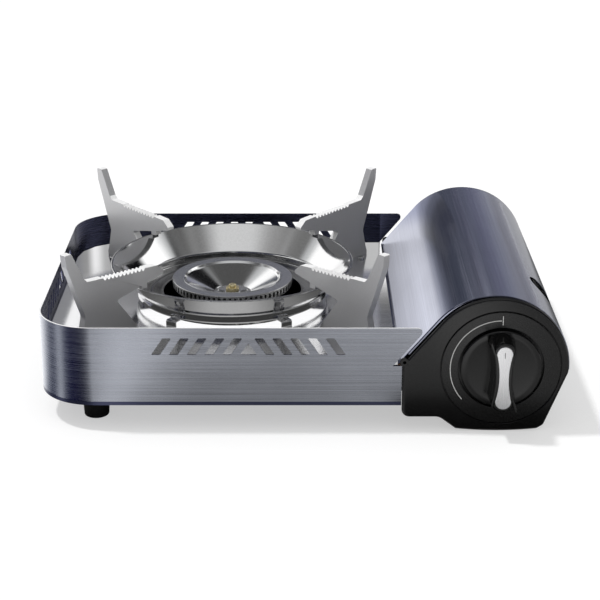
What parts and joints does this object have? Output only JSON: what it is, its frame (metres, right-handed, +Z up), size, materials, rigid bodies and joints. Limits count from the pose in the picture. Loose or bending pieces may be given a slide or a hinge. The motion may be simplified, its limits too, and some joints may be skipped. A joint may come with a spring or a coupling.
{
  "type": "portable gas stove",
  "caption": "Tabletop butane stove: brushed open-topped body with a round burner, toothed pan supports and wind bowl, and a cartridge bay with a hinged curved lid and a turning knob.",
  "frame": {"origin": "on the table, at the centre of the whole stove's box", "axes": "+Z up; the knob faces -Y; the cartridge bay is at +X"},
  "size_m": [0.342, 0.266, 0.1125],
  "materials": {
    "wrap_steel": "fine horizontal grain, blue-grey",
    "lid_steel": "fine grain along the lid, blue-grey",
    "base_steel": "dark satin",
    "tray_steel": "bright satin",
    "bowl_steel": "polished",
    "arm_enamel": "matte grey enamel",
    "head_steel": "satin",
    "funnel_steel": "polished",
    "cast_aluminium": "as cast",
    "brass": "turned",
    "copper_pipe": "drawn copper",
    "plain_steel": "zinc plated",
    "screw_steel": "zinc plated",
    "heat_aluminium": "rolled",
    "trough_steel": "black satin",
    "black_plastic": "satin black moulding",
    "dial_plastic": "satin black",
    "knob_plastic": "gloss black",
    "insert_aluminium": "satin",
    "rubber": "black",
    "magnet": "nickel grey",
    "ceramic": "glazed white",
    "electrode_steel": "bare wire",
    "lead_rubber": "insulated lead"
  },
  "bodies": {
    "stove_body": {"body_shell": "wrap_steel", "base_pan": "base_steel", "drip_tray": "tray_steel", "partition": "plain_steel", "tray_brackets": "plain_steel", "tray_screws": "screw_steel", "rubber_feet": "rubber", "burner_head": "head_steel", "burner_funnel": "funnel_steel", "burner_body": "cast_aluminium", "burner_stud": "screw_steel", "burner_washer": "head_steel", "burner_nut": "brass", "burner_bracket": "plain_steel", "burner_screws": "screw_steel", "mixing_tube": "plain_steel", "air_shutter": "plain_steel", "nozzle_bracket": "plain_steel", "gas_nozzle": "brass", "gas_pipe": "copper_pipe", "lid_hinge_pins": "screw_steel", "front_housing": "black_plastic", "rear_housing": "black_plastic", "dial_plate": "dial_plastic", "bay_trough": "trough_steel", "bay_bulkhead": "plain_steel", "regulator_body": "cast_aluminium", "regulator_cap": "heat_aluminium", "regulator_screws": "screw_steel", "piezo_igniter": "black_plastic", "electrode_insulator": "ceramic", "ignition_electrode": "electrode_steel", "electrode_bracket": "plain_steel", "ignition_lead": "lead_rubber", "cartridge_seat": "brass", "seat_magnet": "magnet", "inlet_seal": "rubber", "cartridge_cradle": "plain_steel", "heat_plate": "heat_aluminium", "foot_screws": "screw_steel", "housing_screws": "screw_steel"},
    "pan_support": {"pan_bowl": "bowl_steel", "bowl_legs": "bowl_steel", "pan_arm_back_right": "arm_enamel", "pan_arm_back_left": "arm_enamel", "pan_arm_front_left": "arm_enamel", "pan_arm_front_right": "arm_enamel"},
    "knob": {"control_knob": "knob_plastic", "knob_insert": "insert_aluminium", "valve_spindle": "plain_steel", "ignition_cam": "black_plastic"},
    "gas_lid": {"gas_lid": "lid_steel"}
  },
  "joints": [
    {"name": "pan_lift", "type": "slide", "parent": "stove_body", "child": "pan_support", "axis": [0, 0, 1], "range_m": [0, 0.04]},
    {"name": "knob_turn", "type": "hinge", "parent": "stove_body", "child": "knob", "pos_m": [0.127, -0.116, 0.0437], "axis": [0, -1, 0], "range_deg": [0, 130]},
    {"name": "lid_hinge", "type": "hinge", "parent": "stove_body", "child": "gas_lid", "pos_m": [0.06555, 0.0085, 0.0476], "axis": [0, -1, 0], "range_deg": [0, 50]}
  ]
}
